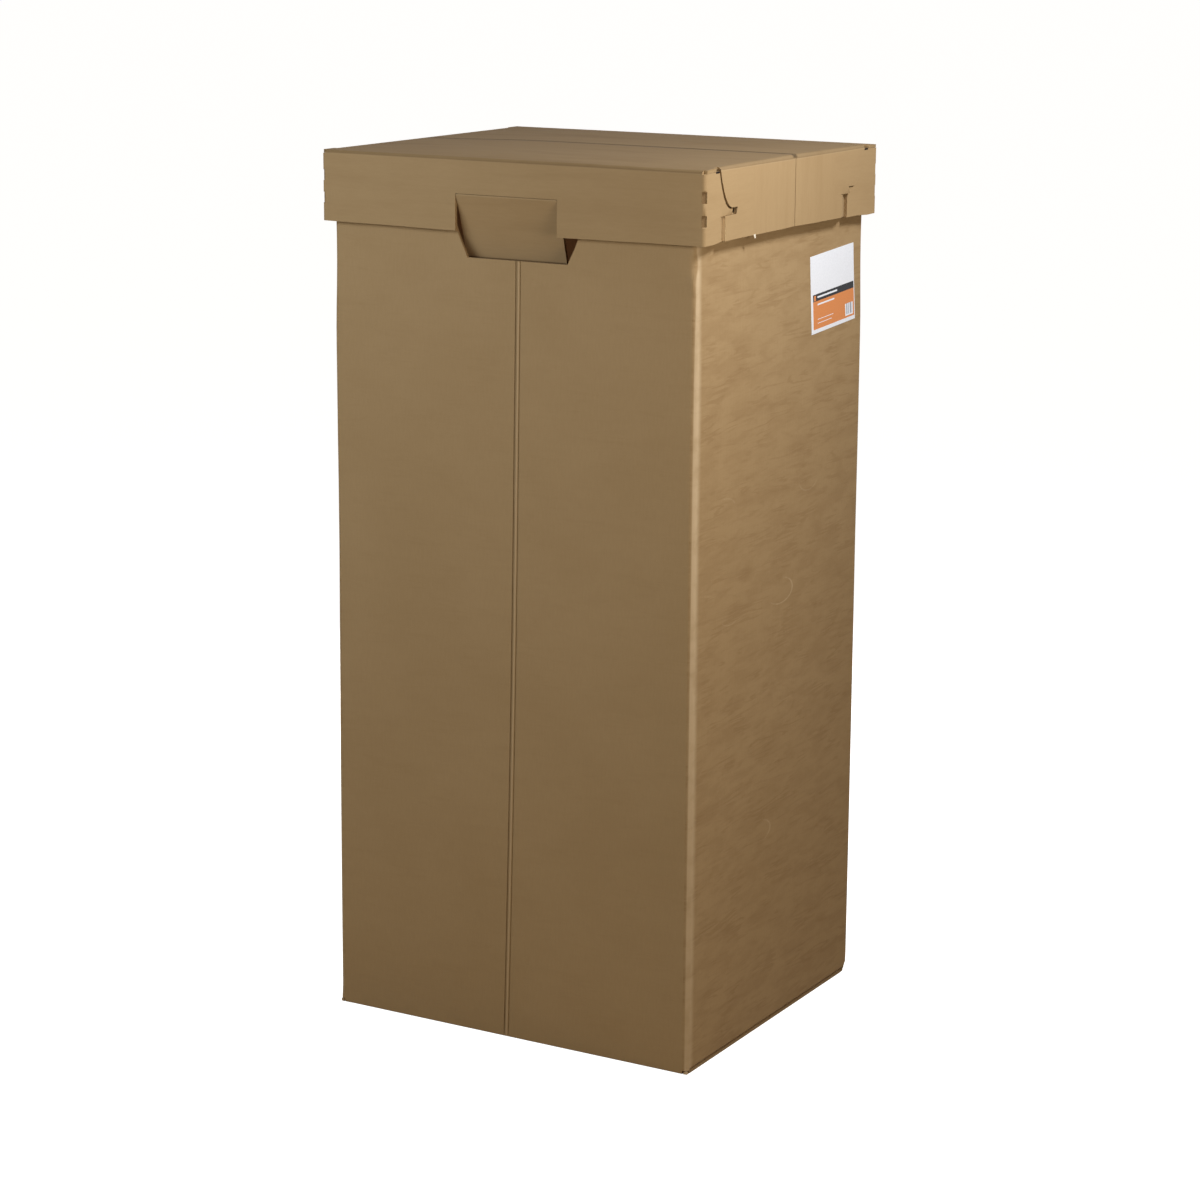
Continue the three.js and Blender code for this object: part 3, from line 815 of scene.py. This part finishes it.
def make_tongue(node, body, side):
    """The tongue curls very slightly where it has been pushed in."""
    bm = copied(node)
    low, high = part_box(node)
    slice_evenly(bm, low, high, tongue_slice_pitch)
    paint_sheet(bm, lambda middle, normal: ((lambda p: p.z), (lambda p: p.x)))
    height = high.z - low.z
    curl_depth = 1.6 * MM

    def curl(p):
        t = (high.z - p.z) / height
        return Vector((0, -side * curl_depth * math.sin(math.pi * t), 0))

    moved(bm, curl)
    return finished(node.replace("tab", "tongue"), bm, body, node, [kraft_lid, edge_paper])


def make_label():
    """The label's face is cut into plain fields of ink on white coated paper."""
    tilt = math.radians(3.3)
    width, height = 124.4 * MM, 97.5 * MM
    bm = copied("label")
    middle = (label_low + label_high) / 2
    turn = Matrix.Rotation(tilt, 3, "X")

    def at(u, v):
        """The point at a share of the label's width and height."""
        return middle + turn @ Vector((0, (u - 0.5) * width, (v - 0.5) * height))

    def share(p):
        """The shares of the width and height at a point."""
        local = turn.transposed() @ (p - middle)
        return local.y / width + 0.5, local.z / height + 0.5

    # Ink, then the field's left, right, foot and top as shares
    fields = [
        ("label_orange", 0.045, 0.985, 0.05, 0.41),
        ("label_dark", 0.045, 0.985, 0.41, 0.50),
        ("label_orange", 0.068, 0.112, 0.418, 0.485),
        ("label_white", 0.145, 0.60, 0.445, 0.468),
        ("label_white", 0.145, 0.53, 0.352, 0.372),
        ("label_white", 0.145, 0.50, 0.168, 0.176),
        ("label_white", 0.145, 0.46, 0.118, 0.126),
        ("label_white", 0.775, 0.955, 0.075, 0.235),
        ("label_grey", 0.802, 0.826, 0.095, 0.235),
        ("label_grey", 0.842, 0.858, 0.095, 0.235),
        ("label_grey", 0.884, 0.922, 0.095, 0.235),
    ]
    for _, u0, u1, v0, v1 in fields:
        for u in (u0, u1):
            slice_at(bm, at(u, 0.5), turn @ Vector((0, 1, 0)))
        for v in (v0, v1):
            slice_at(bm, at(0.5, v), turn @ Vector((0, 0, 1)))
    inks = {
        "label_white": srgb(244, 244, 250),
        "label_orange": srgb(222, 138, 76),
        "label_dark": srgb(20, 22, 27),
        "label_grey": srgb(168, 170, 180),
    }
    names = list(inks)
    for face in bm.faces:
        u, v = share(face.calc_center_median())
        chosen = "label_white"
        for ink, u0, u1, v0, v1 in fields:
            if u0 < u < u1 and v0 < v < v1 and face.normal.x > 0.5:
                chosen = ink
        face.material_index = names.index(chosen)
    slice_evenly(bm, label_low, label_high, slice_pitch)
    moved(bm, shape_carton)
    materials = [printed(name, ink) for name, ink in inks.items()]
    return finished("label_print", bm, "carton", "label", materials)


def make_chip():
    """A small ripped bit of pale liner that hangs from the foot of the lid's right end."""
    bm = bmesh.new()
    # Its corners' y and z in mm
    corners = [(-109.2, 1016.4), (-104.4, 1016.8), (-103.6, 1012.2), (-105.8, 1011.7)]
    outer_x = lid_end + 0.5 * MM
    inner_x = lid_end - 0.3 * MM
    front = [bm.verts.new(Vector((outer_x, y * MM, z * MM))) for y, z in corners]
    back = [bm.verts.new(Vector((inner_x, y * MM, z * MM))) for y, z in corners]
    bm.faces.new(front)
    bm.faces.new(reversed(back))
    for i in range(4):
        j = (i + 1) % 4
        bm.faces.new((front[i], back[i], back[j], front[j]))
    bmesh.ops.recalc_face_normals(bm, faces=bm.faces)
    torn_liner = printed("torn_liner", srgb(236, 224, 204), 0.8)
    return finished("lid_chip", bm, "lid", None, [torn_liner])


make_carton()
make_lid()
make_chip()
make_tongue("lid_tab_front", "tongue_front", -1)
make_tongue("lid_tab_back", "tongue_back", 1)
make_label()

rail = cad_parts["hanging_rail"]
rail.data.materials.clear()
rail.data.materials.append(zinc_steel("rail_zinc"))


# Camera, at the photograph's viewpoint

camera_place = (1.9463, -3.3935, 1.4163)
camera_turn = (77.114, -0.376, 29.945)
camera_lens = 93.65
camera_sensor = 36

camera_data = bpy.data.cameras.new("camera")
camera_data.sensor_width = camera_sensor
camera_data.sensor_height = camera_sensor
camera_data.lens = camera_lens
camera_data.clip_end = 50
camera = bpy.data.objects.new("camera", camera_data)
camera.location = camera_place
camera.rotation_euler = tuple(math.radians(angle) for angle in camera_turn)
bpy.context.collection.objects.link(camera)
bpy.context.scene.camera = camera


# Floor, world and lamps

floor_half = 60
floor_drop = 0.3 * MM
floor_white = (0.95, 0.95, 0.95, 1)
floor_glow = 0.94
floor_bounce = (0.4, 0.29, 0.14, 1)
ambient = (0.08, 0.058, 0.042, 1)

# Name, place, aim, size, power and colour of each softbox
LAMPS = [
    ("key", (0.9, -0.05, 1.72), (-0.1, -0.2, 1.1), (0.22, 0.22), 11, (0.9, 0.97, 1.04)),
    ("fill", (-0.6, -1.33, 1.42), (-0.4, -0.4, 0.4), (1.0, 1.0), 12.9, (0.88, 0.98, 1.04)),
    ("side", (1.25, -0.66, 1.06), (0, -0.3, 0.91), (0.5, 0.5), 6.8, (1.0, 0.93, 0.78)),
    ("back", (-1.3, 1.6, 0.72), (0, 0, 0.62), (1.3, 0.6), 16, (1.0, 0.97, 0.92)),
    ("inside", (0.0, -0.1, 0.55), (0, 0.1, 1.0), (0.2, 0.2), 0.35, (1.0, 0.75, 0.65)),
]


def seen_directly(nodes, links):
    """1 for camera, glossy and transmission rays, 0 for the rays that light the object."""
    path = nodes.new("ShaderNodeLightPath")
    total = path.outputs["Is Camera Ray"]
    for ray in ("Is Glossy Ray", "Is Transmission Ray"):
        either = nodes.new("ShaderNodeMath")
        either.operation = "MAXIMUM"
        links.new(total, either.inputs[0])
        links.new(path.outputs[ray], either.inputs[1])
        total = either.outputs[0]
    return total


def stage_floor():
    """A wide pale floor just under the box."""
    corners = [(x * floor_half, y * floor_half, 0) for x, y in ((-1, -1), (1, -1), (1, 1), (-1, 1))]
    mesh = bpy.data.meshes.new("floor")
    mesh.from_pydata(corners, [], [(0, 1, 2, 3)])
    floor = bpy.data.objects.new("floor", mesh)
    floor.location.z = -floor_drop
    bpy.context.collection.objects.link(floor)
    g = Graph("floor_white")
    seen = seen_directly(g.nodes, g.links)
    g.feed(g.mix(seen, floor_bounce, floor_white), g.shader.inputs["Base Color"])
    g.shader.inputs["Roughness"].default_value = 0.9
    g.shader.inputs["Specular IOR Level"].default_value = 0
    g.shader.inputs["Emission Color"].default_value = (1, 1, 1, 1)
    g.feed(g.times(seen, floor_glow), g.shader.inputs["Emission Strength"])
    mesh.materials.append(g.material)


def world_light():
    """White where it is seen, and a dim warm light on the object."""
    world = bpy.data.worlds.new("studio")
    bpy.context.scene.world = world
    world.use_nodes = True
    nodes = world.node_tree.nodes
    links = world.node_tree.links
    back = nodes["Background"]
    pick = nodes.new("ShaderNodeMix")
    pick.data_type = "RGBA"
    links.new(seen_directly(nodes, links), pick.inputs[0])
    pick.inputs[6].default_value = ambient
    pick.inputs[7].default_value = (1, 1, 1, 1)
    links.new(pick.outputs[2], back.inputs["Color"])


def softbox(name, place_at, aim, size, power, color):
    """A rectangular lamp that the camera doesn't see."""
    data = bpy.data.lights.new(name, "AREA")
    data.shape = "RECTANGLE"
    data.size, data.size_y = size
    data.energy = power
    data.color = color
    lamp = bpy.data.objects.new(name, data)
    lamp.location = place_at
    lamp.rotation_euler = (Vector(aim) - Vector(place_at)).to_track_quat("-Z", "Y").to_euler()
    lamp.visible_camera = False
    bpy.context.collection.objects.link(lamp)


stage_floor()
world_light()
for lamp_values in LAMPS:
    softbox(*lamp_values)

bpy.context.scene.view_settings.view_transform = "Standard"
